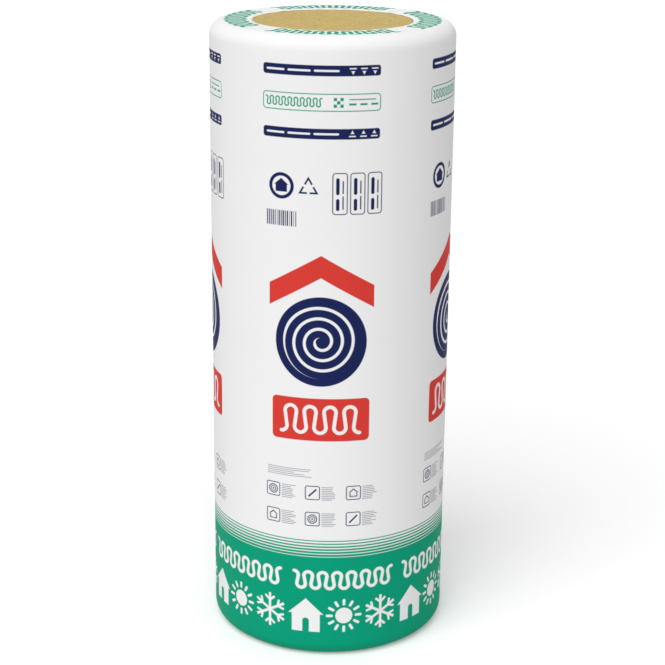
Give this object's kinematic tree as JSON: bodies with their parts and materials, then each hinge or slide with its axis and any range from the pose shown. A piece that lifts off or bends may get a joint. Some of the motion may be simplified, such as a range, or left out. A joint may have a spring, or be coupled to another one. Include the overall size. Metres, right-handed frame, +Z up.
{
  "type": "insulation roll",
  "caption": "Upright cylindrical roll of glass-wool insulation mat in a printed film wrap with rounded shoulders and a round opening at each end that shows the wool.",
  "frame": {"origin": "middle of the lower end, on the surface the roll stands on", "axes": "+Z up along the roll's axis, -Y towards the viewer of the picture"},
  "size_m": [0.46, 0.46, 1.2],
  "materials": {
    "glass_wool": "matt fibrous glass wool, straw yellow",
    "printed_film": "white polyethylene film with a satin sheen, printed green, navy and red"
  },
  "bodies": {
    "root": {"wool_roll": "glass_wool", "film_wrap": "printed_film"}
  },
  "joints": []
}
